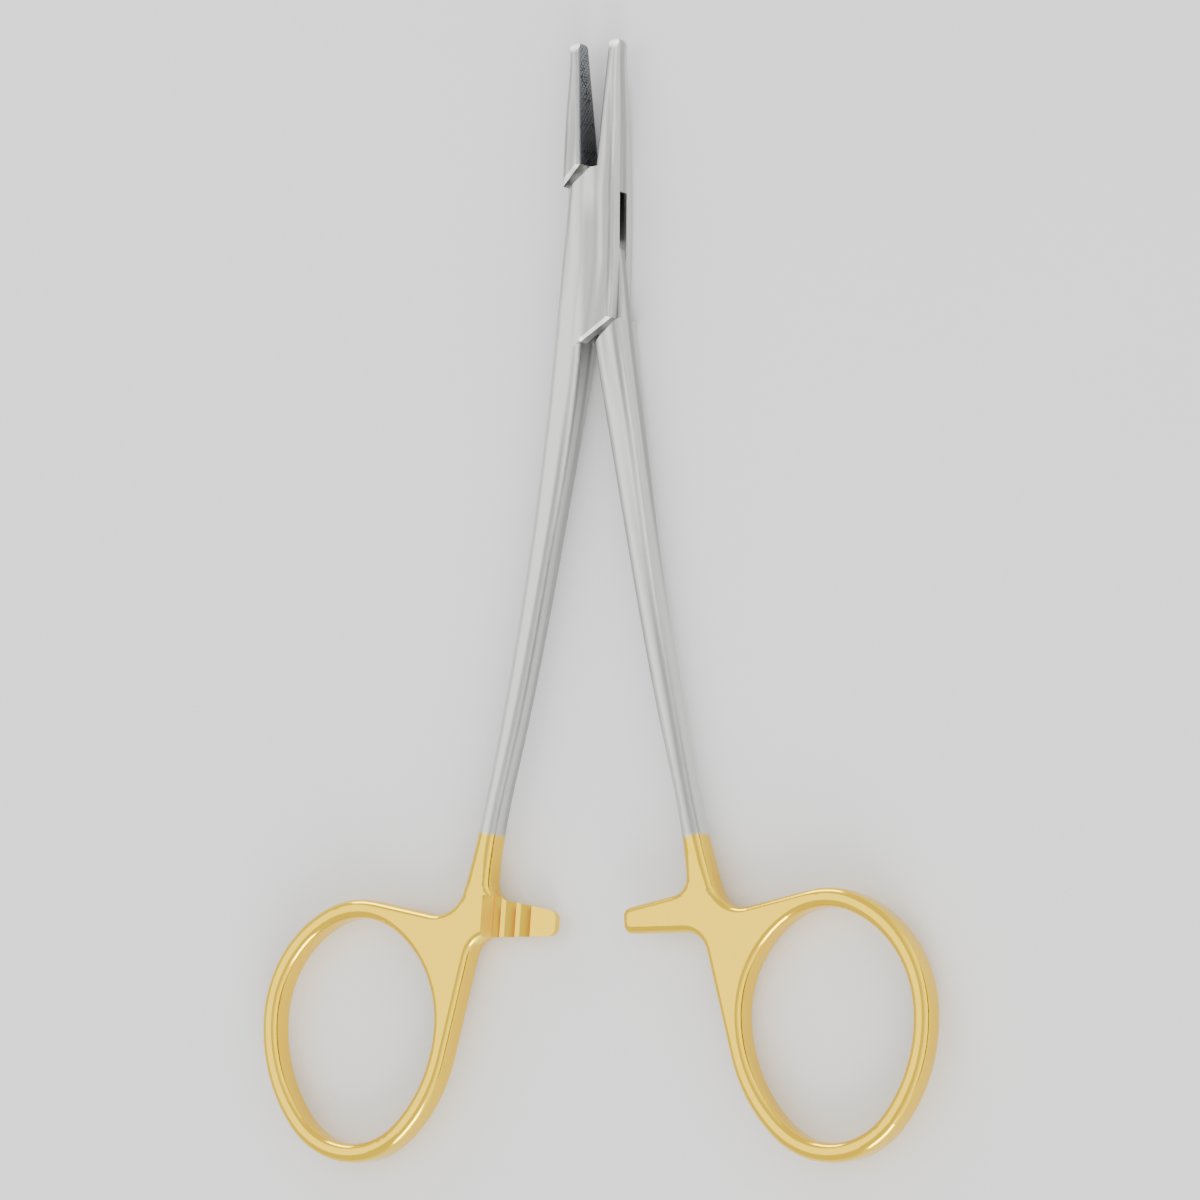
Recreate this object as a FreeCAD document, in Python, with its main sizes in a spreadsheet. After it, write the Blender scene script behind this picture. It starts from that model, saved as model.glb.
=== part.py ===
import FreeCAD, Part
import math
import os
import Sketcher
from FreeCAD import Vector

# Surgical needle holder, slim pattern with box lock, ratchet and carbide-faced jaws.
# Frame in millimetres: X to the right, Y toward the jaw tips, Z up.
# The instrument lies on its back: the rear faces of the box rest on Z = 0 and
# the pivot axis stands at X = 0, Y = 0.
# Each half is drawn closed, about its own mid-plane, and then swung open.

# Sizes
SIZES = {
    # the box lock
    "box_deep": 5.4,
    "box_wide_top": 3.4,
    "box_wide_mid": 3.65,
    "box_wide_low": 3.9,
    "box_flat_top": 6.0,
    "box_flat_low": 5.5,
    "crotch_top": 11.5,
    "cheek_top": 8.6,
    "cheek_low": 7.2,
    "crotch_low": 10.2,
    "slot_deep": 1.70,
    "slot_end": 8.6,
    "tongue_deep": 1.62,
    "tongue_end": 8.2,
    "tongue_neck": 1.0,
    "tongue_flush": 1.0,
    "side_play": 0.10,
    "shoulder_gap": 0.40,
    "bevel": 0.35,
    "pin_wide": 2.5,
    "pin_play": 0.04,
    # the jaws
    "tip": 27.7,
    "tip_round": 0.78,
    "jaw_wide_a": 2.95,
    "jaw_wide_b": 2.15,
    "jaw_deep_a": 4.5,
    "jaw_deep_b": 3.8,
    "jaw_deep_c": 3.0,
    "tip_deep": 2.4,
    "dome_long": 2.35,
    "dome_end": 1.0,
    "tip_gap": 0.01,
    "heel_gap": 0.14,
    "round_spare": 0.13,
    "insert_thick": 0.8,
    "insert_above": 0.5,
    # the shanks
    "shank_mid_a": 2.8,
    "shank_mid_b": 4.7,
    "shank_mid_c": 7.3,
    "shank_wide_a": 3.8,
    "shank_wide_b": 3.1,
    "shank_wide_c": 2.7,
    "shank_deep_a": 4.1,
    "shank_deep_b": 3.55,
    "shank_deep_c": 3.3,
    # from the pivot down to the top of the catch bar, and out to the shank's inner edge there
    "catch_down": 79.65,
    "catch_out": 8.15,
    "shank_over": 3.05,
    # the finger rings
    "ring_under": 1.3,
    "ring_beside": 5.4,
    "ring_half_wide": 12.5,
    "ring_rise_more": 1.55,
    "ring_drop_more": 3.65,
    "ring_nip": 2.35,
    "ring_band": 2.3,
    "ring_deep": 3.6,
    "notch_over": 2.55,
    "foot_wide": 3.55,
    "notch_round": 4.0,
    "web_fillet": 3.0,
    "edge_round": 0.95,
    # the ratchet
    "bar_reach": 0.8,
    "bar_high": 3.25,
    "bar_corner": 1.1,
    "bar_fillet": 2.2,
    "bar_gap": 0.10,
    "bar_ramp": 1.6,
    "tooth_first": 3.5,
    "tooth_pitch": 2.15,
    "tooth_deep": 0.55,
    "tooth_long": 1.5,
    # how far each half stands open in the rest pose, in degrees
    "half_open": 4.2,
}

# the shank's stations, as shares of the way from the pivot to the catch, and the jaw's, as
# shares of the way to the tip
STATIONS = (("a", 0.25), ("b", 0.5), ("c", 0.75))
JAW_WIDTHS = (("a", 0.36), ("b", 0.72))
JAW_DEPTHS = (("a", 0.54), ("b", 0.72), ("c", 0.90))

doc = FreeCAD.newDocument("needle_holder")
sheet = doc.addObject("Spreadsheet::Sheet", "Sizes")
for row, (name, value) in enumerate(SIZES.items(), start=1):
    sheet.set("A%d" % row, name)
    sheet.set("B%d" % row, str(value))
    sheet.setAlias("B%d" % row, name)
doc.recompute()


class Size:
    """A length that carries both its number and the sheet formula behind it."""

    def __init__(self, number, text):
        self.number = number
        self.text = text

    @staticmethod
    def of(other):
        return other if isinstance(other, Size) else Size(float(other), repr(float(other)))

    def __add__(self, other):
        other = Size.of(other)
        return Size(self.number + other.number, "(%s + %s)" % (self.text, other.text))

    def __sub__(self, other):
        other = Size.of(other)
        return Size(self.number - other.number, "(%s - %s)" % (self.text, other.text))

    def __mul__(self, other):
        other = Size.of(other)
        return Size(self.number * other.number, "(%s * %s)" % (self.text, other.text))

    def __neg__(self):
        return self * -1.0

    def __truediv__(self, other):
        other = Size.of(other)
        return Size(self.number / other.number, "(%s / %s)" % (self.text, other.text))


def size(name):
    return Size(SIZES[name], "Sizes." + name)


def insert_heel():
    """How far above the pivot the carbide plates begin."""
    return size("crotch_top") + size("insert_above")


def jaw_round():
    """Rounding of the jaw's long edges, kept under the radius of its nose."""
    return size("tip_round") - size("round_spare")


def ring_middle_down():
    """How far below the pivot the widest part of a finger ring lies."""
    return size("catch_down") + size("ring_under") + size("ring_half_wide") \
        + size("ring_rise_more")


def ring_clear_down():
    """A depth safely below the rings."""
    return ring_middle_down() + (size("ring_half_wide") + size("ring_drop_more")) * 2.0


def bind(thing, prop, length):
    thing.setExpression(prop, Size.of(length).text)


# Bodies and sketches
def new_body(name):
    body = doc.addObject("PartDesign::Body", name)
    body.Label = name
    return body


def new_sketch(body, name, plane, lift=None):
    """A sketch lying on one of the body's own planes, lifted off it when asked."""
    sketch = body.newObject("Sketcher::SketchObject", name)
    origin = [f for f in body.Origin.OriginFeatures if f.Role == plane][0]
    sketch.AttachmentSupport = [(origin, "")]
    sketch.MapMode = "FlatFace"
    if lift is not None:
        bind(sketch, "AttachmentOffset.Base.z", lift)
    doc.recompute()
    return sketch


def draw_curves(sketch, curves):
    for curve in curves:
        sketch.addGeometry(curve, False)


def draw_polygon(sketch, corners):
    """A closed polygon whose corners follow the sheet."""
    count = len(corners)
    first = sketch.GeometryCount
    spots = [Vector(Size.of(a).number, Size.of(b).number, 0) for a, b in corners]
    for i in range(count):
        sketch.addGeometry(Part.LineSegment(spots[i], spots[(i + 1) % count]), False)
    for i in range(count):
        sketch.addConstraint(
            Sketcher.Constraint("Coincident", first + i, 2, first + (i + 1) % count, 1))
    for i, (a, b) in enumerate(corners):
        for kind, length in (("DistanceX", Size.of(a)), ("DistanceY", Size.of(b))):
            index = sketch.addConstraint(
                Sketcher.Constraint(kind, -1, 1, first + i, 1, length.number))
            if "Sizes" in length.text:
                bind(sketch, "Constraints[%d]" % index, length)


def feature(body, kind, name, profile, **settings):
    item = body.newObject("PartDesign::" + kind, name)
    item.Profile = profile
    for key, value in settings.items():
        if isinstance(value, Size):
            bind(item, key, value)
        else:
            setattr(item, key, value)
    doc.recompute()
    return item


# Plan curves of one half
# A half is drawn with its shank on the left; side = -1 turns it over to the right.
def at(side, x, y):
    return Vector(side * x, y, 0)


def smooth(points, start, end):
    curve = Part.BSplineCurve()
    curve.interpolate(Points=points, InitialTangent=start, FinalTangent=end)
    return curve


def common_tangent(one, two, way):
    """Touching points of a line on two circles given as (centre, radius, side of the line)."""
    for _ in range(60):
        a = one[0] + way * (one[1] * one[2])
        b = two[0] + way * (two[1] * two[2])
        line = (b - a).normalize()
        turned = Vector(-line.y, line.x, 0)
        way = turned if turned.dot(way) > 0 else turned * -1
    return a, b


def short_arc(centre, start, end):
    """The smaller arc about a centre between two points."""
    middle = (start - centre) + (end - centre)
    middle = centre + middle.normalize() * (start - centre).Length
    return Part.Arc(start, middle, end)


def ring_rounds(side, grow):
    """The four arcs' circles of an egg-shaped ring, grown outward from its middle line."""
    s = SIZES
    wide, rounds = s["ring_half_wide"], {}
    middle = at(side, -s["catch_out"] - s["ring_beside"] - wide, -ring_middle_down().number)
    for name, more, up in (("top", s["ring_rise_more"], 1), ("low", s["ring_drop_more"], -1)):
        high, end = wide + more, wide - s["ring_nip"]
        flank = high + more ** 2 / (2 * s["ring_nip"])
        rounds[name] = (middle + Vector(0, up * (high - end), 0), end + grow)
        for hand in (-1, 1):
            rounds[name, hand] = (middle - Vector(hand * (flank - wide), 0, 0), flank + grow)
    return middle, wide + grow, rounds


def joint_of(end, flank):
    """Where the end's circle touches the larger one of the flank from inside."""
    return flank[0] + (end[0] - flank[0]).normalize() * flank[1]


def ring_arcs(side, grow, start=None, stop=None):
    """Arcs round the ring, from its top away from the shank down to the axis side."""
    middle, wide, rounds = ring_rounds(side, grow)
    far = [joint_of(rounds[end], rounds[end, -side]) for end in ("top", "low")]
    near = [joint_of(rounds[end], rounds[end, side]) for end in ("top", "low")]
    far_middle, near_middle = middle - Vector(side * wide, 0, 0), middle + Vector(side * wide, 0, 0)
    arcs = [short_arc(rounds["top"][0], start or near[0], far[0]),
            short_arc(rounds["top", -side][0], far[0], far_middle),
            short_arc(rounds["low", -side][0], far_middle, far[1]),
            short_arc(rounds["low"][0], far[1], near[1]),
            short_arc(rounds["low", side][0], near[1], stop or near_middle)]
    if stop is None:
        arcs.append(short_arc(rounds["top", side][0], near_middle, near[0]))
    return arcs


def handle_curves(side):
    """Outline from the outer shank end, round the ring and bar, to the inner shank end."""
    s = SIZES
    outer_run = at(side, -0.25, -1)
    inner_run = at(side, -0.03, -1)
    rounds = ring_rounds(side, s["ring_band"] / 2)[2]
    # hollow where the shank turns into the ring
    notch = at(side, -s["catch_out"] - s["foot_wide"] - s["notch_round"],
               -s["catch_down"] + s["notch_over"])
    outer_end = notch + at(side, 1, -0.25).normalize() * s["notch_round"]
    a, b = common_tangent((notch, s["notch_round"], -1), rounds["top"] + (1,), Vector(0, 1, 0))
    curves = [short_arc(notch, outer_end, a), Part.LineSegment(a, b)]
    # ratchet bar, with a rounded end, and the two fillets at its root
    r, fillet, web = s["bar_corner"], s["bar_fillet"], s["web_fillet"]
    inner_end = at(side, -s["catch_out"], -s["catch_down"] + s["shank_over"])
    bar_low = -s["catch_down"] - s["bar_high"]
    top = at(side, s["bar_reach"] - r, -s["catch_down"] - r)
    bottom = at(side, s["bar_reach"] - r, bar_low + r)
    root = inner_end + at(side, 1, -0.03).normalize() * fillet
    f1, f2 = common_tangent((root, fillet, -1), (top, r, 1), Vector(0, 1, 0))
    heel = at(side, 0.75 - s["catch_out"], bar_low - 0.5 - web)
    g1, g2 = common_tangent((bottom, r, 1), (heel, web, -1), Vector(0, -1, 0))
    h1, h2 = common_tangent((heel, web, -1), rounds["low", side] + (1,), Vector(side, 0, 0))
    curves += ring_arcs(side, s["ring_band"] / 2, b, h2)
    curves += [Part.LineSegment(h2, h1), short_arc(heel, h1, g2), Part.LineSegment(g2, g1)]
    nose_low = bottom + Vector(side * r, 0, 0)
    nose_top = top + Vector(side * r, 0, 0)
    curves += [short_arc(bottom, g1, nose_low), Part.LineSegment(nose_low, nose_top),
               short_arc(top, nose_top, f2), Part.LineSegment(f2, f1),
               short_arc(root, f1, inner_end)]
    return curves, outer_end, inner_end, outer_run, inner_run


def ring_opening(side):
    return ring_arcs(side, -SIZES["ring_band"] / 2)


def shank_edge(side, start, end, run, out):
    """One long edge of the shank; out is -1 for the outer and 1 for the inner edge."""
    s = SIZES
    points = list(start)
    for letter, share in STATIONS:
        x = -s["shank_mid_" + letter] + out * s["shank_wide_" + letter] / 2
        points.append(at(side, x, -share * s["catch_down"]))
    points.append(end)
    return smooth(points, at(side, -0.04, -1), run)


def jaw_tip(side):
    """Points of the round nose: on the gripping side, at the top and on the outer side."""
    s = SIZES
    r = s["tip_round"]
    centre = at(side, s["tip_gap"] + r, s["tip"] - r)
    return centre, centre - Vector(side * r, 0, 0), centre + Vector(0, r, 0), \
        centre + Vector(side * r, 0, 0).normalize() * r


def jaw_curves(side, start):
    """Nose and outer side of a jaw, from the gripping side of the tip to the start points."""
    s = SIZES
    centre, grip, top, outer = jaw_tip(side)
    points = list(start)
    points += [at(side, s["jaw_wide_" + letter], share * s["tip"]) for letter, share in JAW_WIDTHS]
    points.append(outer)
    return [Part.Arc(grip, top, outer), smooth(points, at(side, -0.02, 1), at(side, 0, 1))]


def box_outline(side):
    """Half with the box: rounded curves and sharp lines of its plan."""
    s = SIZES
    handle, outer_end, inner_end, outer_run, inner_run = handle_curves(side)
    corner = at(side, s["box_wide_low"], -s["cheek_low"])
    crotch = at(side, -0.2, -s["crotch_low"])
    cheek = at(side, -s["box_wide_top"], s["cheek_top"])
    jaw = jaw_curves(side, [corner, at(side, s["box_wide_mid"], 0)])
    soft = [shank_edge(side, [cheek, at(side, -s["box_wide_mid"], 0),
                              at(side, -s["box_wide_low"] - 0.1, -10)],
                       outer_end, outer_run, -1),
            shank_edge(side, [crotch], inner_end, inner_run, 1)]
    chain = [jaw_tip(side)[1], at(side, s["heel_gap"], insert_heel().number),
             at(side, s["heel_gap"], s["crotch_top"]), at(side, -0.5, s["crotch_top"] - 0.1),
             cheek]
    sharp = [Part.LineSegment(p, q) for p, q in zip(chain, chain[1:])]
    sharp.append(Part.LineSegment(crotch, corner))
    return jaw, soft + handle, sharp


def tongue_outline(side):
    """Half with the tongue: the same jaw and handle, with the tongue between them."""
    s = SIZES
    handle, outer_end, inner_end, outer_run, inner_run = handle_curves(side)
    play, flush = s["side_play"], s["tongue_flush"]
    right = at(side, s["box_wide_mid"] - play, -flush)
    left = at(side, -s["box_wide_mid"] + play, flush)
    crotch = at(side, -0.2, -s["crotch_low"])
    jaw = jaw_curves(side, [right])
    soft = [shank_edge(side, [left, at(side, -s["box_wide_low"] - 0.1, -10)],
                       outer_end, outer_run, -1),
            shank_edge(side, [crotch], inner_end, inner_run, 1)]
    neck, end = s["tongue_neck"], s["tongue_end"]
    chain = [jaw_tip(side)[1], at(side, s["heel_gap"], insert_heel().number),
             at(side, s["heel_gap"], end), at(side, -neck, end), left]
    sharp = [Part.LineSegment(p, q) for p, q in zip(chain, chain[1:])]
    chain = [crotch, at(side, -0.2, -end), at(side, neck, -end), right]
    sharp += [Part.LineSegment(p, q) for p, q in zip(chain, chain[1:])]
    return jaw, soft + handle, sharp


# Side profile
def side_profile(top):
    """Half of the thickness outline, in the plane seen from the side; top is 1 or -1."""
    s = SIZES

    def spot(y, deep):
        return Vector(y, top * deep / 2, 0)

    box = s["box_deep"]
    ring_end = -ring_clear_down().number
    forward = Vector(1, 0, 0)
    shank = [spot(-s["catch_down"], s["ring_deep"])]
    shank += [spot(-share * s["catch_down"], s["shank_deep_" + letter])
              for letter, share in reversed(STATIONS)]
    shank.append(spot(-s["box_flat_low"], box))
    jaw = [spot(s["box_flat_top"], box)]
    jaw += [spot(share * s["tip"], s["jaw_deep_" + letter]) for letter, share in JAW_DEPTHS]
    jaw.append(spot(s["tip"] + 1, s["tip_deep"]))
    curves = [Part.LineSegment(spot(ring_end, s["ring_deep"]), shank[0]),
              smooth(shank, forward, forward), Part.LineSegment(shank[-1], jaw[0]),
              smooth(jaw, forward, Vector(1, -0.1 * top, 0))]
    return curves


def trim_to_profile(body, name):
    """Cut away all that stands outside the side profile."""
    sketch = new_sketch(body, name + "_profile", "YZ_Plane")
    s = SIZES
    draw_curves(sketch, side_profile(1) + side_profile(-1))
    low = -ring_clear_down().number
    high = s["tip"] + 1
    ring, tip = s["ring_deep"] / 2, s["tip_deep"] / 2
    draw_curves(sketch, [Part.LineSegment(Vector(low, ring, 0), Vector(low, -ring, 0)),
                         Part.LineSegment(Vector(high, tip, 0), Vector(high, -tip, 0))])
    reach, rise = 10.0, s["box_deep"]
    draw_polygon(sketch, [(low - reach, -rise), (high + reach, -rise),
                          (high + reach, rise), (low - reach, rise)])
    across = (size("catch_out") + size("ring_beside") + size("ring_half_wide") * 3.0) * 2.0
    return feature(body, "Pocket", name + "_thickness", sketch, Type="Length", Length=across,
                   Midplane=True)


def dome_nose(body, name):
    """Round the nose of a jaw, or of its plate, in side view as well as in plan."""
    s = SIZES
    sketch = new_sketch(body, name + "_dome", "YZ_Plane")
    start, stop, clear = s["tip"] - s["dome_long"], s["tip"] + 0.05, s["tip"] + 2.0
    last = JAW_DEPTHS[-1][1] * s["tip"]
    share = (start - last) / (s["tip"] + 1 - last)
    thick = s["jaw_deep_c"] + (s["tip_deep"] - s["jaw_deep_c"]) * share + 0.06
    drop = (thick - s["dome_end"]) / 2
    radius = ((stop - start) ** 2 + drop ** 2) / (2 * drop)
    for up in (1, -1):
        centre = Vector(start, up * (thick / 2 - radius), 0)
        ends = [Vector(start, up * thick / 2, 0), Vector(stop, up * s["dome_end"] / 2, 0)]
        clear_of = Vector(start, up * s["box_deep"], 0)
        corner = Vector(clear, up * s["box_deep"], 0)
        tail = Vector(clear, up * s["dome_end"] / 2, 0)
        chain = [ends[1], tail, corner, clear_of, ends[0]]
        draw_curves(sketch, [short_arc(centre, ends[0], ends[1])])
        draw_curves(sketch, [Part.LineSegment(p, q) for p, q in zip(chain, chain[1:])])
    return feature(body, "Pocket", name + "_nose_dome", sketch, Type="Length",
                   Length=size("jaw_wide_a") * 4.0, Midplane=True)


def bevel_edge(body, name, start, stop, outward, high):
    """Bevel a straight edge of the front face, and its twin at the rear, from start to stop.

    Seen along the edge, outward is 1 where the metal ends to the left and -1 to the right.
    """
    run = (stop - start).normalize()
    sketch = new_sketch(body, name + "_section", "XZ_Plane")
    turn = math.degrees(math.atan2(run.x, -run.y))
    sketch.AttachmentOffset = FreeCAD.Placement(
        Vector(start.x, 0, -start.y), FreeCAD.Rotation(Vector(0, 1, 0), turn))
    bevel, spare = size("bevel"), 0.3
    for up in (1, -1):
        level = high * up
        draw_polygon(sketch, [((bevel + spare) * -outward, level + spare * up),
                              (spare * outward, level - (bevel + spare) * up),
                              (spare * outward, level + spare * up)])
    long = (stop - start).Length
    return feature(body, "Pocket", name, sketch, Type="Length", Length=long, Reversed=True)


def edges_on(shape, curves):
    """Names of the edges of the front and rear faces that follow the given plan curves."""
    walls = [curve.toShape() for curve in curves]
    names = []
    for index, edge in enumerate(shape.Edges, start=1):
        spots = [edge.valueAt(edge.FirstParameter + (edge.LastParameter - edge.FirstParameter) * f)
                 for f in (0.1, 0.5, 0.9)]
        if min(abs(p.z) for p in spots) < 0.5:
            continue
        if max(abs(p.z - spots[0].z) for p in spots) > 0.5 * (spots[2] - spots[0]).Length:
            continue
        flat = [Part.Vertex(p.x, p.y, 0) for p in spots]
        if any(max(w.distToShape(v)[0] for v in flat) < 1e-3 for w in walls):
            names.append("Edge%d" % index)
    return names


def round_edges(body, name, base, curves, radius):
    fillet = body.newObject("PartDesign::Fillet", name)
    fillet.Base = (base, edges_on(base.Shape, curves))
    bind(fillet, "Radius", radius)
    doc.recompute()
    return fillet


# The two halves
def blank(body, name, side, jaw, soft, sharp):
    """Forged blank of a half: plan outline, side profile and rounded edges."""
    sketch = new_sketch(body, name + "_plan", "XY_Plane")
    opening = ring_opening(side)
    draw_curves(sketch, jaw + soft + sharp + opening)
    pad = feature(body, "Pad", name + "_forging", sketch, Length=size("box_deep"), Midplane=True)
    cut = trim_to_profile(body, name)
    slim = round_edges(body, name + "_jaw_rounding", cut, jaw, jaw_round())
    round_edges(body, name + "_rounding", slim, soft + opening, size("edge_round"))
    return dome_nose(body, name)


def bore(body, name, radius):
    sketch = new_sketch(body, name + "_circle", "XY_Plane")
    ring = sketch.addGeometry(Part.Circle(Vector(0, 0, 0), Vector(0, 0, 1), radius.number), False)
    sketch.addConstraint(Sketcher.Constraint("Coincident", ring, 3, -1, 1))
    index = sketch.addConstraint(Sketcher.Constraint("Radius", ring, radius.number))
    bind(sketch, "Constraints[%d]" % index, radius)
    return feature(body, "Pocket", name, sketch, Type="ThroughAll", Midplane=True)


def insert_seat(body, name, side):
    """Step milled along the jaw for the carbide plate."""
    sketch = new_sketch(body, name + "_plan", "XY_Plane")
    heel, thick = insert_heel(), size("insert_thick")
    far = size("tip") + 2.0
    draw_polygon(sketch, [(-side * 2.0, heel), (thick * side, heel), (thick * side, far),
                          (-side * 2.0, far)])
    return feature(body, "Pocket", name, sketch, Type="ThroughAll", Midplane=True)


def ratchet(body, name, side, up):
    """Halve the bar in thickness and cut the teeth; up is the side of Z that is cut away."""
    # seen along the bar: X across the picture, Z upward
    level = size("bar_gap") * (-0.5 * up)
    step, far = (size("catch_out") - 0.25) * -side, (size("bar_reach") + 3.0) * side
    high = size("ring_deep") * up
    sketch = new_sketch(body, name + "_step", "XZ_Plane", size("catch_down") - 1.25)
    draw_polygon(sketch, [(step, level), (far, level), (far, high),
                          (step - size("bar_ramp") * side, high)])
    feature(body, "Pocket", name + "_halving", sketch, Type="Length", Length=8.0, Reversed=True)
    sketch = new_sketch(body, name + "_tooth", "XZ_Plane", size("catch_down") - 2.05)
    first = (size("bar_reach") - size("tooth_first")) * side
    draw_polygon(sketch, [(first, level + 0.2 * up), (first, level - size("tooth_deep") * up),
                          (first - size("tooth_long") * side, level),
                          (first - size("tooth_long") * side, level + 0.2 * up)])
    tooth = feature(body, "Pocket", name + "_notch", sketch, Type="Length", Length=10.0,
                    Reversed=True)
    row = body.newObject("PartDesign::LinearPattern", name + "_teeth")
    row.Originals = [tooth]
    axis = [f for f in body.Origin.OriginFeatures if f.Role == "X_Axis"][0]
    row.Direction = (axis, [""])
    row.Reversed = side > 0
    bind(row, "Length", size("tooth_pitch") * 2.0)
    row.Occurrences = 3
    body.Tip = row
    doc.recompute()
    return row


def make_box_half():
    side = 1
    body = new_body("box_half")
    jaw, soft, sharp = box_outline(side)
    blank(body, "box", side, jaw, soft, sharp)
    # slot through the box in which the tongue swings
    end, wide = size("slot_end"), 7.0
    sketch = new_sketch(body, "slot_plan", "XY_Plane")
    draw_polygon(sketch, [(wide, end), (size("heel_gap"), end), (size("heel_gap"), 14.0),
                          (-wide, 14.0), (-wide, -end), (-0.2, -end), (-0.2, -14.0),
                          (wide, -14.0)])
    feature(body, "Pocket", "box_slot", sketch, Type="Length", Length=size("slot_deep"),
            Midplane=True)
    crotch = at(side, -0.2, -SIZES["crotch_low"])
    corner = at(side, SIZES["box_wide_low"] + 1.0,
                -SIZES["cheek_low"] + (SIZES["crotch_low"] - SIZES["cheek_low"])
                / (SIZES["box_wide_low"] + 0.2))
    bevel_edge(body, "cheek_bevel", crotch, corner, -1, size("box_deep") / 2 - 0.05)
    bore(body, "rivet_hole", size("pin_wide") / 2)
    insert_seat(body, "box_insert_seat", side)
    ratchet(body, "box_ratchet", side, 1)
    return body


def make_tongue_half():
    side = -1
    body = new_body("tongue_half")
    jaw, soft, sharp = tongue_outline(side)
    blank(body, "tongue", side, jaw, soft, sharp)
    # both faces are cut down to the tongue wherever the cheeks of the box lie,
    # along lines that run beside the ends of the cheeks
    reach, gap = 2.0, SIZES["shoulder_gap"]
    top, low = size("box_wide_top"), size("box_wide_low")
    top_slope = (size("crotch_top") - 0.1 - size("cheek_top")) / (top - 0.5)
    low_slope = (size("crotch_low") - size("cheek_low")) / (low + 0.2)
    top_gap = gap * math.hypot(1, top_slope.number)
    low_gap = gap * math.hypot(1, low_slope.number)
    heel = insert_heel()
    far, near = low + reach, Size.of(reach - 0.2)
    shoulder = [(top + reach, size("cheek_top") + top_gap - top_slope * reach),
                (top - (heel - size("cheek_top") - top_gap) / top_slope, heel)]
    root = [(-far, -size("cheek_low") - low_gap + low_slope * reach),
            (near, -size("crotch_low") - low_gap - low_slope * reach)]
    corners = shoulder + [(-far, heel)] + root + [(top + reach, root[1][1])]
    for up, name in ((1, "front"), (-1, "rear")):
        sketch = new_sketch(body, name + "_clearance_plan", "XY_Plane",
                            size("tongue_deep") * (0.5 * up))
        draw_polygon(sketch, [(x * side, y) for x, y in corners])
        feature(body, "Pocket", name + "_clearance", sketch, Type="Length", Length=4.0,
                Reversed=up > 0)
    start, stop = [Vector(Size.of(x * side).number, y.number, 0) for x, y in shoulder]
    bevel_edge(body, "shoulder_bevel", start, stop, -1,
               (size("box_deep") + size("jaw_deep_a")) / 4)
    bore(body, "pivot_bore", size("pin_wide") / 2 + size("pin_play"))
    insert_seat(body, "tongue_insert_seat", side)
    ratchet(body, "tongue_ratchet", side, -1)
    return body


# Carbide plates and rivet
def make_insert(name, side):
    """Carbide plate brazed along the gripping side of a jaw, shaped flush with it."""
    s = SIZES
    body = new_body(name)
    thick, heel = s["insert_thick"], insert_heel().number
    centre, grip, top, outer = jaw_tip(side)
    r, across = s["tip_round"], thick - s["tip_gap"] - s["tip_round"]
    cut_point = centre + at(side, across, math.sqrt(r * r - across * across))
    middle = centre + ((grip - centre) + (cut_point - centre)).normalize() * r
    nose = Part.Arc(grip, middle, cut_point)
    chain = [grip, at(side, s["heel_gap"], heel), at(side, thick, heel), cut_point]
    lines = [Part.LineSegment(p, q) for p, q in zip(chain, chain[1:])]
    sketch = new_sketch(body, name + "_plan", "XY_Plane")
    draw_curves(sketch, [nose] + lines)
    feature(body, "Pad", name + "_plate", sketch, Length=size("box_deep"), Midplane=True)
    cut = trim_to_profile(body, name)
    round_edges(body, name + "_nose", cut, [nose], jaw_round())
    dome_nose(body, name)
    return body


def make_pin():
    pin = doc.addObject("Part::Cylinder", "pivot_pin")
    pin.Label = "pivot_pin"
    bind(pin, "Radius", size("pin_wide") / 2)
    bind(pin, "Height", size("box_deep"))
    return pin


box_half = make_box_half()
tongue_half = make_tongue_half()
box_insert = make_insert("box_jaw_insert", 1)
tongue_insert = make_insert("tongue_jaw_insert", -1)
pin = make_pin()
doc.recompute()

# Assembly
up = Vector(0, 0, 1)
lift = Vector(0, 0, SIZES["box_deep"] / 2)
for part, turn in ((box_half, -1), (box_insert, -1), (tongue_half, 1), (tongue_insert, 1)):
    part.Placement = FreeCAD.Placement(lift, FreeCAD.Rotation(up, turn * SIZES["half_open"]))
    bind(part, "Placement.Base.z", size("box_deep") / 2)
    bind(part, "Placement.Rotation.Angle", size("half_open"))
    bind(part, "Placement.Rotation.Axis.z", Size.of(turn))
doc.recompute()

parts = [box_half, tongue_half, box_insert, tongue_insert, pin]
broken = [item.Label for item in doc.Objects if "Invalid" in item.State or "Error" in item.State]
if broken:
    raise RuntimeError("did not build: " + ", ".join(broken))
for part in parts:
    if part.Shape.isNull() or not part.Shape.isValid() or len(part.Shape.Solids) != 1:
        raise RuntimeError("%s is not one valid solid" % part.Label)
    print("%-20s volume %8.1f mm3  box %s" % (part.Label, part.Shape.Volume, part.Shape.BoundBox))

os.makedirs("parts", exist_ok=True)
for part in parts:
    part.Shape.exportStep("parts/%s.step" % part.Label)
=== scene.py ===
# %% [markdown]
# # A needle holder in satin steel with gold-plated rings
# The solids come from the CAD model and stay where they are. This file gives them their
# finishes, cuts the fine serrations into the two carbide plates, and sets up a small
# photo studio: a pale floor, soft lights and a camera at the photograph's angle.
# Everything is in metres; +X is right, +Y points to the jaw tips and +Z is up off the floor.

import math

import bmesh
import bpy
from mathutils import Matrix, Vector


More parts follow.
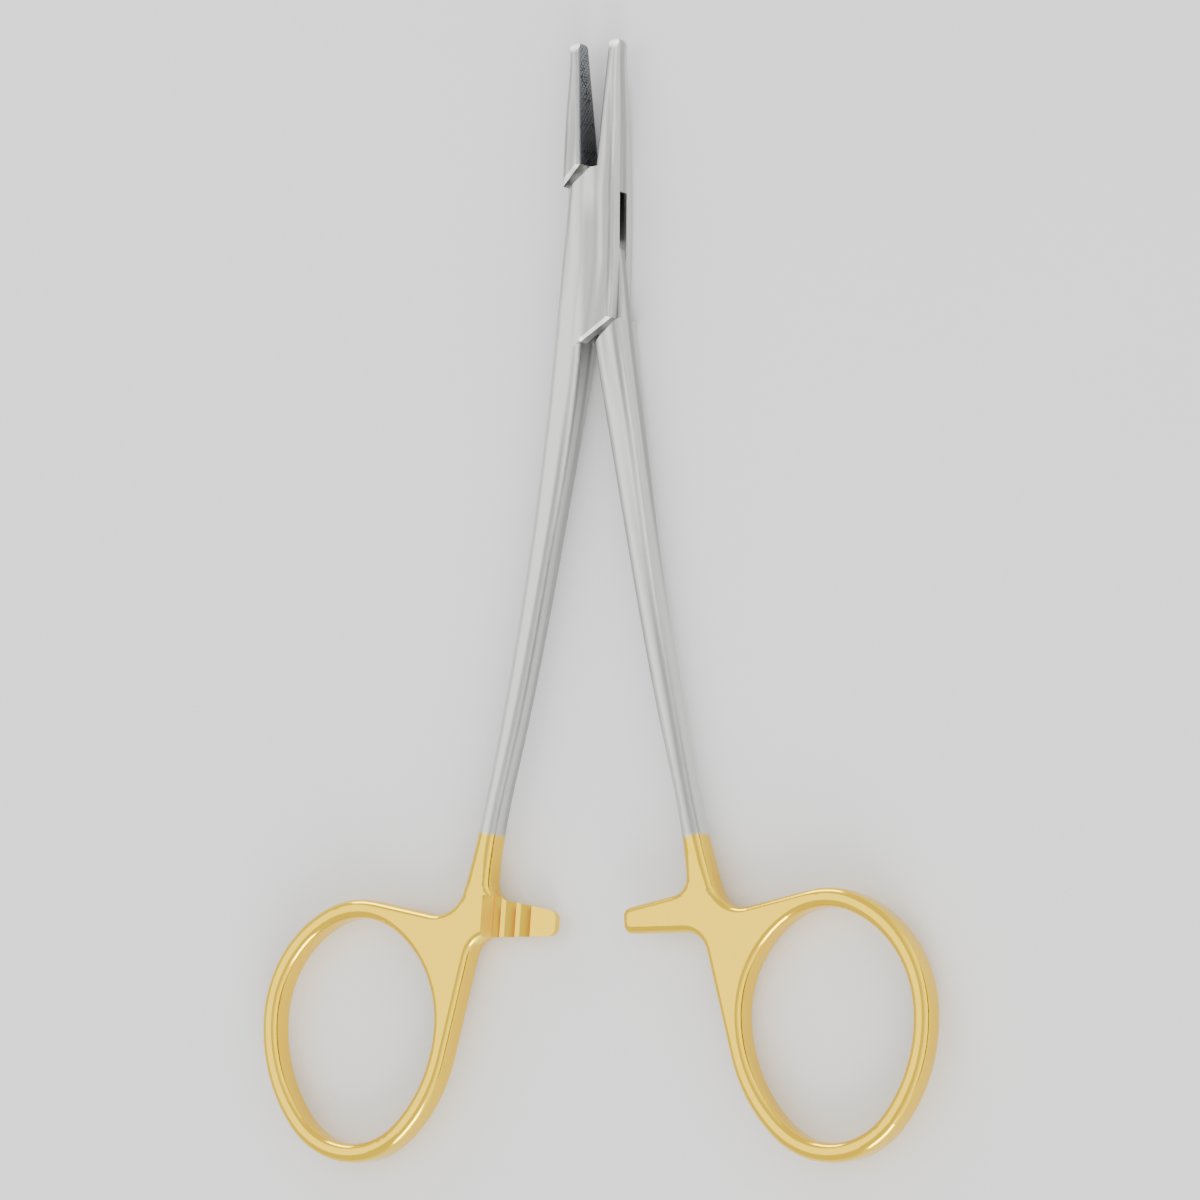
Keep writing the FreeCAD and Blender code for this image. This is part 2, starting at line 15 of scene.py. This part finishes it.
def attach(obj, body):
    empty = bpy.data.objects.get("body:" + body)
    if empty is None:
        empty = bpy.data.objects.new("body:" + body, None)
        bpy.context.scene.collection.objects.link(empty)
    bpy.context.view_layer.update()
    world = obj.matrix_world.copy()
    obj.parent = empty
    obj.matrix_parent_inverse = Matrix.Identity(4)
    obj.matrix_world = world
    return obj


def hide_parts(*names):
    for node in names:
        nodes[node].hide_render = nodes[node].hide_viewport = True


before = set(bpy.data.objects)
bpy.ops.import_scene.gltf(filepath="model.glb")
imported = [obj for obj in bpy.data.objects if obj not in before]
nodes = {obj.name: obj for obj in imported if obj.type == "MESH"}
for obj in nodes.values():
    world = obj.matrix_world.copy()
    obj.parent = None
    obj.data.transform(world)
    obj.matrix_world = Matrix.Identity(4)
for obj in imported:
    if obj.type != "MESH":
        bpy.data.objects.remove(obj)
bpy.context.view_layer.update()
MM = 0.001

# %% [markdown]
# ## Small helpers
# The camera, the lamps, the floor and the plates are all objects that have to be put in the
# scene, and most patterns below start and end at lengths read in millimetres.

# %% Objects, meshes and lengths
def add_object(name, data):
    """Make an object from its data and put it in the scene."""
    made = bpy.data.objects.new(name, data)
    bpy.context.scene.collection.objects.link(made)
    return made


def built_mesh(name, building):
    """Turn a mesh under construction into mesh data, and let go of the first."""
    data = bpy.data.meshes.new(name)
    building.to_mesh(data)
    building.free()
    return data


def span(low, high):
    """Two lengths given in millimetres, in metres."""
    return low * MM, high * MM


print("the first millimetre is", span(0.0, 1.0))

# %% [markdown]
# ## Camera
# The photograph looks down on the instrument from a little to its right, so the flanks of
# both arms show beside their front faces. The view is given as a turn about the long axis,
# a small pitch and a roll, with the distance and the lens that make the arms' sizes right.
# Angles are easier to correct than a location and a quaternion, so the axes are built here.

# %% The camera's three axes
TURN, PITCH, ROLL = math.radians(30.0), math.radians(-6.22), math.radians(0.45)

flat = math.cos(PITCH)
back = Vector((math.sin(TURN) * flat, math.sin(PITCH), math.cos(TURN) * flat))
level = Vector((math.cos(TURN), 0.0, -math.sin(TURN)))
upright = back.cross(level)
right = level * math.cos(ROLL) + upright * math.sin(ROLL)
up = upright * math.cos(ROLL) - level * math.sin(ROLL)
print("the camera looks along", [round(-c, 3) for c in back])

# %% Place the camera
PIVOT = Vector((0.0, 0.0, 2.7 * MM))
PIVOT_PIXEL = (596.9, 262.0)
FRAME_PIXELS = 1200
PIXEL = 0.1228 * MM
DISTANCE = 722.8 * MM
SENSOR = 36.0
NEAREST, FURTHEST = 0.05, 20.0

across, down = [pixel - FRAME_PIXELS / 2 for pixel in PIVOT_PIXEL]
place = PIVOT + back * DISTANCE - right * across * PIXEL + up * down * PIXEL
camera = add_object("camera", bpy.data.cameras.new("camera"))
camera.matrix_world = Matrix.Translation(place) \
    @ Matrix((right, up, back)).transposed().to_4x4()
camera.data.sensor_width = SENSOR
camera.data.lens = SENSOR * DISTANCE / (FRAME_PIXELS * PIXEL)
camera.data.clip_start, camera.data.clip_end = NEAREST, FURTHEST
bpy.context.scene.camera = camera
print("camera at", [round(c, 4) for c in place], "lens", round(camera.data.lens, 1))

# %% [markdown]
# ## Shader maths
# A finish is easier to read as a formula than as a tangle of nodes. `Value` wraps one node
# socket, and adding or multiplying two of them adds the Math node that does it. Every other
# node comes from `Finish.node`, which sets the node's own settings first, then its inputs.

# %% A value
class Value:
    """One number, colour or vector on its way through a material."""

    def __init__(self, finish, socket):
        self.finish, self.socket = finish, socket

    def math(self, operation, first, second=0.0):
        return self.finish.node("ShaderNodeMath", {"operation": operation},
                                {0: first, 1: second})

    def __add__(self, other):
        return self.math("ADD", self, other)

    def __sub__(self, other):
        return self.math("SUBTRACT", self, other)

    def __rsub__(self, other):
        return self.math("SUBTRACT", other, self)

    def __mul__(self, other):
        return self.math("MULTIPLY", self, other)

    __radd__, __rmul__ = __add__, __mul__

    def __abs__(self):
        return self.math("ABSOLUTE", self)

    def at_least(self, low):
        return self.math("MAXIMUM", self, low)

    def rise(self, low, high):
        """0 below low, 1 above high, and a smooth rise between them."""
        return self.finish.node("ShaderNodeMapRange", {"interpolation_type": "SMOOTHSTEP"},
                                {"Value": self, "From Min": low, "From Max": high}, "Result")

    def fall(self, low, high):
        """1 below low, 0 above high, and a smooth fall between them."""
        return 1.0 - self.rise(low, high)


print("values add, subtract and multiply")

# %% A finish
class Finish:
    """The nodes of one material, or of the world, while they are being put together."""

    def __init__(self, owner):
        self.owner = owner
        owner.use_nodes = True
        self.tree = owner.node_tree
        self.tree.nodes.clear()

    def node(self, kind, settings=None, inputs=None, out=0):
        made = self.tree.nodes.new(kind)
        for name, setting in (settings or {}).items():
            setattr(made, name, setting)
        for name, value in (inputs or {}).items():
            if isinstance(value, Value):
                self.tree.links.new(value.socket, made.inputs[name])
            else:
                made.inputs[name].default_value = value
        return Value(self, made.outputs[out]) if made.outputs else None

    def where(self, stretch=(1.0, 1.0, 1.0)):
        """The point on the piece, in metres at rest, so a pattern moves with its piece."""
        point = self.node("ShaderNodeTexCoord", out="Object")
        return self.node("ShaderNodeVectorMath", {"operation": "MULTIPLY"},
                         {0: point, 1: stretch})

    def faces(self):
        """The way the surface looks."""
        return self.node("ShaderNodeNewGeometry", out="Normal")

    def split(self, vector):
        return [self.node("ShaderNodeSeparateXYZ", None, {0: vector}, axis) for axis in "XYZ"]

    def join(self, x, y, z):
        return self.node("ShaderNodeCombineXYZ", None, {"X": x, "Y": y, "Z": z})

    def length(self, vector):
        return self.node("ShaderNodeVectorMath", {"operation": "LENGTH"}, {0: vector}, "Value")

    def noise(self, point, per_metre, detail=2.0):
        return self.node("ShaderNodeTexNoise", {"noise_dimensions": "3D"},
                         {"Vector": point, "Scale": per_metre, "Detail": detail}, "Fac")

    def mix(self, share, first, second):
        """A colour, first where share is 0 and second where it is 1."""
        return self.node("ShaderNodeMix", {"data_type": "RGBA"},
                         {0: share, 6: first, 7: second}, 2)

    def bump(self, height, depth):
        return self.node("ShaderNodeBump", None, {"Height": height, "Distance": depth}, "Normal")

    def shade(self, sockets):
        """Close the material with a Principled shader."""
        shader = self.node("ShaderNodeBsdfPrincipled", None, sockets)
        self.node("ShaderNodeOutputMaterial", None, {"Surface": shader})
        return self.owner


def new_finish(name):
    return Finish(bpy.data.materials.new(name))


def colour(red, green, blue):
    return (red, green, blue, 1.0)


print("finishes can be mixed")

# %% [markdown]
# ## Satin steel
# Each arm is one forging, brushed to a satin along its length. Close up the brushing is
# fine scratches, and from further off it shows as soft lighter and darker bands, left by the
# grinding belt. A painted image could carry both, but noise stretched along the arm gives the
# same streaks from a few numbers. The shanks lean and bow outwards, so that is taken off the
# place where the noise is looked up: the streaks follow a shank and don't run off its edge.

# %% How far a point lies across its arm
SHANK_LEAN, SHANK_BOW = 0.122, 0.835


def shank_drift(below):
    """How far out the middle of a shank has gone at this distance below the pivot."""
    return SHANK_LEAN * below + SHANK_BOW * (below * below)


def across_arm(x, y, side):
    """The distance across the arm, as if its shank were straight."""
    below = (0.0 - y).at_least(0.0)
    return x - side * shank_drift(below)


print("at 60 mm below the pivot a shank is", round(shank_drift(60 * MM) / MM, 1), "mm out")

# %% [markdown]
# ## Painted reflection and painted shade on the box lock
# The front of the box seems to be ground a little hollow, so its middle would mirror a darker
# part of the room: that darker middle is a painted reflection. The slot that the tongue passes
# through is painted dark as shade, most of all at its upper end. Such a hollow is far too
# shallow to be worth modelling, and the slot is there already, so both are soft windows on the
# colour of the steel.

# %% The painted reflection and the painted shade in the slot
# where the painted reflection darkens the middle of the box's front
REFLECTION_X = 0.6 * MM
REFLECTION_SIDES, REFLECTION_FOOT, REFLECTION_HEAD = span(0.6, 1.7), span(-13.0, -9.0), span(4.0, 9.0)
# where the painted shade lies in the slot, and how much of it is left at the slot's lower end
SLOT_THICK, SLOT_SIDES = span(0.9, 1.0), span(3.2, 3.4)
SLOT_FOOT, SLOT_HEAD, SLOT_FADE = span(2.0, 3.0), span(9.5, 10.0), span(3.0, 8.0)
SLOT_LEAST = 0.6


def painted_box_reflection(x, y):
    """The painted reflection: 1 down the middle of the box's front, and 0 before its edges and
    ends.
    """
    return abs(x - REFLECTION_X).fall(*REFLECTION_SIDES) \
        * y.rise(*REFLECTION_FOOT) * y.fall(*REFLECTION_HEAD)


def painted_slot_shade(x, y, z):
    """The painted shade in the slot: 1 inside its upper end, less at its lower end, and 0
    outside it.
    """
    return abs(z - PIVOT.z).fall(*SLOT_THICK) * abs(x).fall(*SLOT_SIDES) \
        * y.rise(*SLOT_FOOT) * y.fall(*SLOT_HEAD) \
        * (SLOT_LEAST + (1.0 - SLOT_LEAST) * y.rise(*SLOT_FADE))


print("the slot is dark over", round((SLOT_HEAD[1] - SLOT_FOOT[0]) / MM, 1), "mm")

# %% The brushed steel
STEEL, STEEL_DULL = colour(0.68, 0.685, 0.66), colour(0.32, 0.325, 0.315)
# the colour of the painted shade inside the slot
SLOT_SHADE_COLOUR = colour(0.10, 0.102, 0.10)
SCRATCHES, SCRATCH_STRETCH, SCRATCH_DETAIL = 7000.0, 0.05, 3.0
BANDS, BAND_STRETCH, BAND_DETAIL = 620.0, 0.02, 1.0
BAND_EDGES = (0.36, 0.58)
# the second share is how far the painted reflection darkens the middle of the box's front
BAND_SHARE, REFLECTION_SHARE = 0.75, 0.75
SATIN, SCRATCH_ROUGH = 0.34, 0.10
SCRATCH_DEEP = 0.004 * MM


def brushed(finish, side):
    """The steel's colour with its painted reflection and painted shade, its roughness, and the
    fine scratches for the bump.
    """
    x, y, z = finish.split(finish.where())
    over = across_arm(x, y, side)
    scratches = finish.noise(finish.join(over, SCRATCH_STRETCH * y, z),
                             SCRATCHES, SCRATCH_DETAIL)
    bands = finish.noise(finish.join(over, BAND_STRETCH * y, z), BANDS, BAND_DETAIL)
    light = scratches * (1.0 - BAND_SHARE) + bands.rise(*BAND_EDGES) * BAND_SHARE
    # painted reflection: the middle of the box's front is darkened
    light = light * (1.0 - REFLECTION_SHARE * painted_box_reflection(x, y))
    steel = finish.mix(light, STEEL_DULL, STEEL)
    # painted shade: the inside of the slot is darkened, most of all at its upper end
    steel = finish.mix(painted_slot_shade(x, y, z), steel, SLOT_SHADE_COLOUR)
    return steel, SATIN + scratches * SCRATCH_ROUGH, scratches


print("scratches", round(1.0 / SCRATCHES / MM, 2), "mm and bands",
      round(1.0 / BANDS / MM, 1), "mm wide")

# %% [markdown]
# ## The rivet
# The rivet is set in the box, filed flush and brushed with it. It gets the same steel as the
# arm it sits in, so the streaks run on across it and it can hardly be told apart.

# %% The rivet's finish
def brushed_steel(name):
    finish = new_finish(name)
    steel, roughness, scratches = brushed(finish, -1.0)
    return finish.shade({
        "Base Color": steel,
        "Metallic": 1.0,
        "Roughness": roughness,
        "Normal": finish.bump(scratches, SCRATCH_DEEP)})


nodes["pivot_pin"].material_slots[0].material = brushed_steel("rivet_steel")
print("rivet finished")

# %% [markdown]
# ## The teeth of the catch
# The roots of the ratchet's teeth lie in shade and mirror the gold around them; that
# orange-brown is painted shade, coloured into the roots.
# The short ramp between the shank and the first tooth mirrors the gold bar beside it, and
# gold mirrored in gold turns orange too, which the real one doesn't. So the ramp is painted a
# paler gold, painted light against that reflection, and made less polished; its mask also
# reaches a rounded corner of the web nearby, where the paler gold shows as a painted highlight.
# A few faces could carry materials of their own, but the teeth belong to one forging, so two
# masks find them by place, by depth below the tips and by where they look.

# %% Where the tooth roots and the ramp are
BAR_FOOT, BAR_HEAD = span(-85.0, -84.0), span(-79.6, -78.6)
BAR_TIP, BAR_ROOT = span(5.0, 6.0), span(13.4, 13.7)
ROOT_FROM, ROOT_TO = span(0.165, 0.55), span(0.60, 0.70)
RAMP_HEAD, RAMP_DEEP = span(-78.1, -77.6), span(0.06, 0.12)
RAMP_FROM, RAMP_TO = span(13.6, 13.7), span(15.6, 16.1)
LOOKS_ENDWAYS, LOOKS_UP = (0.3, 0.7), (0.75, 0.90)


def catch_masks(finish, bar_side, teeth_face):
    """The painted shade in the tooth roots and the paler painted ramp, each 1 on its place and 0
    elsewhere.
    """
    x, y, z = finish.split(finish.where())
    _, endways, upward = finish.split(finish.faces())
    out = x * bar_side
    depth = (z - PIVOT.z) * (-teeth_face)
    root_shade = depth.rise(*ROOT_FROM) * depth.fall(*ROOT_TO) \
        * out.rise(*BAR_TIP) * out.fall(*BAR_ROOT) \
        * y.rise(*BAR_FOOT) * y.fall(*BAR_HEAD) * abs(endways).fall(*LOOKS_ENDWAYS)
    # the ramp, where a paler gold is painted against its orange reflection
    ramp = out.rise(*RAMP_FROM) * out.fall(*RAMP_TO) \
        * y.rise(*BAR_FOOT) * y.fall(*RAMP_HEAD) \
        * depth.fall(*RAMP_DEEP) * abs(upward).fall(*LOOKS_UP)
    return root_shade, ramp


print("teeth", round((BAR_ROOT[1] - BAR_TIP[0]) / MM, 1), "mm along the bar")

# %% [markdown]
# ## Gold plating on the handles
# Each handle is dipped for plating up to a line across its shank, a little further down on
# the right arm. One finish covers the whole forging, and a mask by distance from the pivot
# decides where the gold starts. The plating fills the scratches, so it is smoother than the
# steel, and a slow noise makes it slightly cloudy.

# %% The arms' finish
GOLD, GOLD_DEEP = colour(0.90, 0.63, 0.03), colour(0.90, 0.56, 0.018)
# the paler gold is painted light on the ramp, and the orange-brown is the painted shade in the
# tooth roots
RAMP_PAINTED_GOLD, ROOT_SHADE_ORANGE = colour(0.97, 0.78, 0.06), colour(0.75, 0.26, 0.02)
GOLD_LINE, RIGHT_LINE_LOWER, GOLD_BLUR = 71.4 * MM, 1.1 * MM, 0.42 * MM
CLOUDS = 220.0
POLISH, RAMP_DULL = 0.13, 0.30
SCRATCHES_FILLED = 0.9


def brushed_and_plated(name, gold_line, bar_side, teeth_face):
    """The finish of one arm. teeth_face is 1 where the teeth look up and -1 where down."""
    finish = new_finish(name)
    steel, satin, scratches = brushed(finish, bar_side)
    root_shade, ramp = catch_masks(finish, bar_side, teeth_face)
    from_pivot = finish.length(finish.where((1.0, 1.0, 0.0)))
    gold = from_pivot.rise(gold_line - GOLD_BLUR, gold_line + GOLD_BLUR)

    plating = finish.mix(finish.noise(finish.where(), CLOUDS), GOLD_DEEP, GOLD)
    # painted shade: the tooth roots are coloured orange-brown
    plating = finish.mix(root_shade, plating, ROOT_SHADE_ORANGE)
    # painted light: the ramp is coloured a paler gold, which also paints a highlight on a
    # rounded corner of the web
    plating = finish.mix(ramp, plating, RAMP_PAINTED_GOLD)
    polish = POLISH + RAMP_DULL * ramp
    return finish.shade({
        "Base Color": finish.mix(gold, steel, plating),
        "Metallic": 1.0,
        "Roughness": satin - gold * (satin - polish),
        "Normal": finish.bump(scratches * (1.0 - SCRATCHES_FILLED * gold), SCRATCH_DEEP)})


arm_finish = {
    "box_half": brushed_and_plated("satin_steel_gold_left", GOLD_LINE, -1.0, 1.0),
    "tongue_half": brushed_and_plated("satin_steel_gold_right",
                                      GOLD_LINE + RIGHT_LINE_LOWER, 1.0, -1.0)}
for name, material in arm_finish.items():
    nodes[name].material_slots[0].material = material
print("arms finished:", sorted(arm_finish))

# %% [markdown]
# ## Serrated carbide plates
# The plates that grip the needle are tungsten carbide, a darker and duller grey than steel,
# ground with two crossing sets of fine V grooves that leave rows of small pyramids. A bump
# could fake them, but the grooves also cut the plate's rim, so they are cut from the solid:
# one Boolean with a comb of long prisms for each direction.

# %% One groove
def add_prism(mesh, corners, shift):
    """A prism with this triangle as its section, from one shift back to one ahead."""
    ends = [[mesh.verts.new(corner + shift * way) for corner in corners] for way in (-1, 1)]
    for first in range(3):
        second = (first + 1) % 3
        mesh.faces.new((ends[0][first], ends[0][second], ends[1][second], ends[1][first]))
    mesh.faces.new(ends[0][::-1])
    mesh.faces.new(ends[1])


print("a groove is cut by a three-sided prism")

# %% A comb of grooves
GROOVE_PITCH, GROOVE_DEEP = 0.50 * MM, 0.13 * MM
GROOVE_HALF = GROOVE_PITCH * 0.46
GROOVE_REACH, COMB_REACH = 14.0 * MM, 16.0 * MM
PROUD = 0.02 * MM
HALF_OPEN = math.radians(4.2)
HEEL_GAP, TIP_GAP = 0.14 * MM, 0.01 * MM
HEEL_Y, TIP_Y = 12.0 * MM, 27.7 * MM


def groove_comb(side, slant):
    """Parallel V-shaped prisms that lie in the gripping face, slanted across the jaw."""
    lean = math.atan2(HEEL_GAP - TIP_GAP, TIP_Y - HEEL_Y)
    along = Vector((-math.sin(lean) * side, math.cos(lean), 0.0))
    inward = Vector((math.cos(lean) * side, math.sin(lean), 0.0))
    deep = Vector((0.0, 0.0, 1.0))
    run = (along * math.cos(slant) + deep * math.sin(slant)).normalized()
    step = run.cross(inward).normalized()
    middle = Vector(((HEEL_GAP + TIP_GAP) / 2 * side, (HEEL_Y + TIP_Y) / 2, 0.0))

    mesh = bmesh.new()
    count = int(COMB_REACH / GROOVE_PITCH)
    for index in range(-count, count + 1):
        centre = middle + step * (index * GROOVE_PITCH)
        mouth = centre - inward * PROUD
        add_prism(mesh, [mouth - step * GROOVE_HALF, mouth + step * GROOVE_HALF,
                         centre + inward * GROOVE_DEEP], run * GROOVE_REACH)
    bmesh.ops.recalc_face_normals(mesh, faces=mesh.faces)
    comb = add_object("groove_comb", built_mesh("groove_comb", mesh))
    comb.matrix_world = Matrix.Translation(PIVOT) @ Matrix.Rotation(-side * HALF_OPEN, 4, "Z")
    return comb


print("grooves", GROOVE_PITCH / MM, "mm apart and", GROOVE_DEEP / MM, "mm deep")

# %% Cut the plates
SLANTS = (math.radians(45.0), math.radians(-45.0))
WELD = 0.0001 * MM


def welded_copy(node, name):
    """The node's mesh with the doubled corners of the import joined again."""
    mesh = bmesh.new()
    mesh.from_mesh(node.data)
    bmesh.ops.remove_doubles(mesh, verts=mesh.verts, dist=WELD)
    return built_mesh(name, mesh)


def serrated_plate(node_name, side, body):
    """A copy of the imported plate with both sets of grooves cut, riding on its body."""
    name = node_name + "_serrated"
    plate = add_object(name, welded_copy(nodes[node_name], name))
    for slant in SLANTS:
        comb = groove_comb(side, slant)
        cut = plate.modifiers.new("grooves", "BOOLEAN")
        cut.operation, cut.solver, cut.object = "DIFFERENCE", "EXACT", comb
        bpy.context.view_layer.update()
        cut_data = bpy.data.meshes.new_from_object(
            plate.evaluated_get(bpy.context.evaluated_depsgraph_get()))
        plate.modifiers.clear()
        plate.data = cut_data
        bpy.data.objects.remove(comb)
    for face in plate.data.polygons:
        face.use_smooth = False
    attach(plate, body)
    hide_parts(node_name)
    print(plate.name, "has", len(plate.data.polygons), "faces")
    return plate


plates = [serrated_plate("box_jaw_insert", 1, "box_arm"),
          serrated_plate("tongue_jaw_insert", -1, "tongue_arm")]

# %% [markdown]
# ## Carbide
# The carbide's rim is ground with the jaw, so it is nearly as light as the steel. Its gripping
# face is left as it came from the mould, darker and rough, and part of its darkness is painted
# shade from the other jaw close in front of it: painted darkest at the heel and lighter toward
# the tip, as in the photograph. How far a face looks across the jaws tells rim and gripping face
# apart, so no second piece is needed.

# %% The carbide's finish
GRAINS, GRAIN_DETAIL, GRAIN_SHARE = 9000.0, 3.0, 0.3
RIM = (colour(0.42, 0.425, 0.42), colour(0.54, 0.54, 0.53))
# the gripping face at the heel and at the tip: its own darker tone with painted shade, deepest
# at the heel
GRIP_TONE_AND_SHADE = (colour(0.12, 0.125, 0.135), colour(0.26, 0.27, 0.28))
LOOKS_ACROSS = (0.45, 0.75)
RIM_ROUGH, GRIP_ROUGH = 0.36, 0.48


def ground_carbide(name):
    finish = new_finish(name)
    grain = finish.noise(finish.where(), GRAINS, GRAIN_DETAIL)
    # painted shade: the gripping face is painted lighter toward the tip
    shade_fades_to_tip = finish.split(finish.where())[1].rise(HEEL_Y, TIP_Y)
    gripping = abs(finish.split(finish.faces())[0]).rise(*LOOKS_ACROSS)
    # the gripping face's colour: its own darker tone, plus painted shade that fades toward the
    # tip
    grip = finish.mix(shade_fades_to_tip * (1.0 - GRAIN_SHARE) + grain * GRAIN_SHARE, *GRIP_TONE_AND_SHADE)
    return finish.shade({
        "Base Color": finish.mix(gripping, finish.mix(grain, *RIM), grip),
        "Metallic": 1.0,
        "Roughness": RIM_ROUGH + gripping * (GRIP_ROUGH - RIM_ROUGH),
        "Normal": finish.bump(grain, SCRATCH_DEEP)})


carbide = ground_carbide("ground_carbide")
for plate in plates:
    plate.data.materials.clear()
    plate.data.materials.append(carbide)
print("plates finished")

# %% [markdown]
# ## Floor
# The instrument lies on a pale seamless sheet, wide enough to fill the view from every side.
# It is very slightly uneven in tone, as paper is.

# %% Pale floor
FLOOR_HALF, FLOOR_SQUARES = 1.5, 8
PAPER = (colour(0.82, 0.82, 0.82), colour(0.86, 0.86, 0.86))
PAPER_CLOUDS, PAPER_ROUGH = 12.0, 0.7

floor_mesh = bmesh.new()
bmesh.ops.create_grid(floor_mesh, x_segments=FLOOR_SQUARES, y_segments=FLOOR_SQUARES,
                      size=FLOOR_HALF)
floor = add_object("floor", built_mesh("floor", floor_mesh))
paper = new_finish("pale_floor")
floor.data.materials.append(paper.shade({
    "Base Color": paper.mix(paper.noise(paper.where(), PAPER_CLOUDS), *PAPER),
    "Roughness": PAPER_ROUGH}))
print("floor", 2 * FLOOR_HALF, "m wide")

# %% [markdown]
# ## Soft lights
# One large soft box from the upper left gives the front faces an even sheen. Two smaller
# ones, low beyond the rings and low beyond the jaws, catch the slanted bevels and the round
# noses, which are the brightest spots on such an instrument. One lamp could not light both
# ends, and a stronger one would burn out the fronts.

# %% Soft boxes
AIM = Vector((0.0, -40 * MM, 0.0))
SOFT_BOXES = {
    "key": ((-0.40, 0.05, 0.70), 0.60, 1.5),
    "foot light": ((0.28, -0.80, 0.34), 0.40, 5.0),
    "head light": ((-0.40, 0.75, 0.20), 0.40, 3.0)}


def soft_box(name, spot, size, watts):
    """A square lamp at this spot, turned to the middle of the instrument."""
    light = bpy.data.lights.new(name, "AREA")
    light.shape, light.size, light.energy = "SQUARE", size, watts
    lamp = add_object(name, light)
    lamp.location = spot
    lamp.rotation_euler = (AIM - Vector(spot)).to_track_quat("-Z", "Y").to_euler()


for name, (spot, size, watts) in SOFT_BOXES.items():
    soft_box(name, spot, size, watts)

# %% [markdown]
# ## The sky
# Polished metal shows what is around it more than what shines on it, so the sky does most of
# the work. It is pale, and brighter on the right, where the flanks of the arms look: in the
# photograph they are nearly as light as the fronts. Low on the right it has a dark band. The
# rounded front-right corners mirror that part, and it draws the thin dark line down each arm.

# %% A pale sky with a dark band low on the right
SKY, RIGHT_GLOW, DARK_BAND = 1.45, 1.5, 0.08
GLOW_EDGES, BAND_SIDE, BAND_TOP = (0.2, 0.8), (0.70, 0.95), (0.15, 0.28)

world = bpy.data.worlds.new("studio")
bpy.context.scene.world = world
sky = Finish(world)
to_right, _, above = sky.split(sky.node("ShaderNodeTexCoord", out="Generated"))
glow = SKY + RIGHT_GLOW * to_right.rise(*GLOW_EDGES)
dark = to_right.rise(*BAND_SIDE) * above.fall(*BAND_TOP)
shine = sky.node("ShaderNodeBackground", None, {"Strength": glow - dark * (glow - DARK_BAND)})
sky.node("ShaderNodeOutputWorld", None, {"Surface": shine})
print("sky from", DARK_BAND, "to", SKY + RIGHT_GLOW)
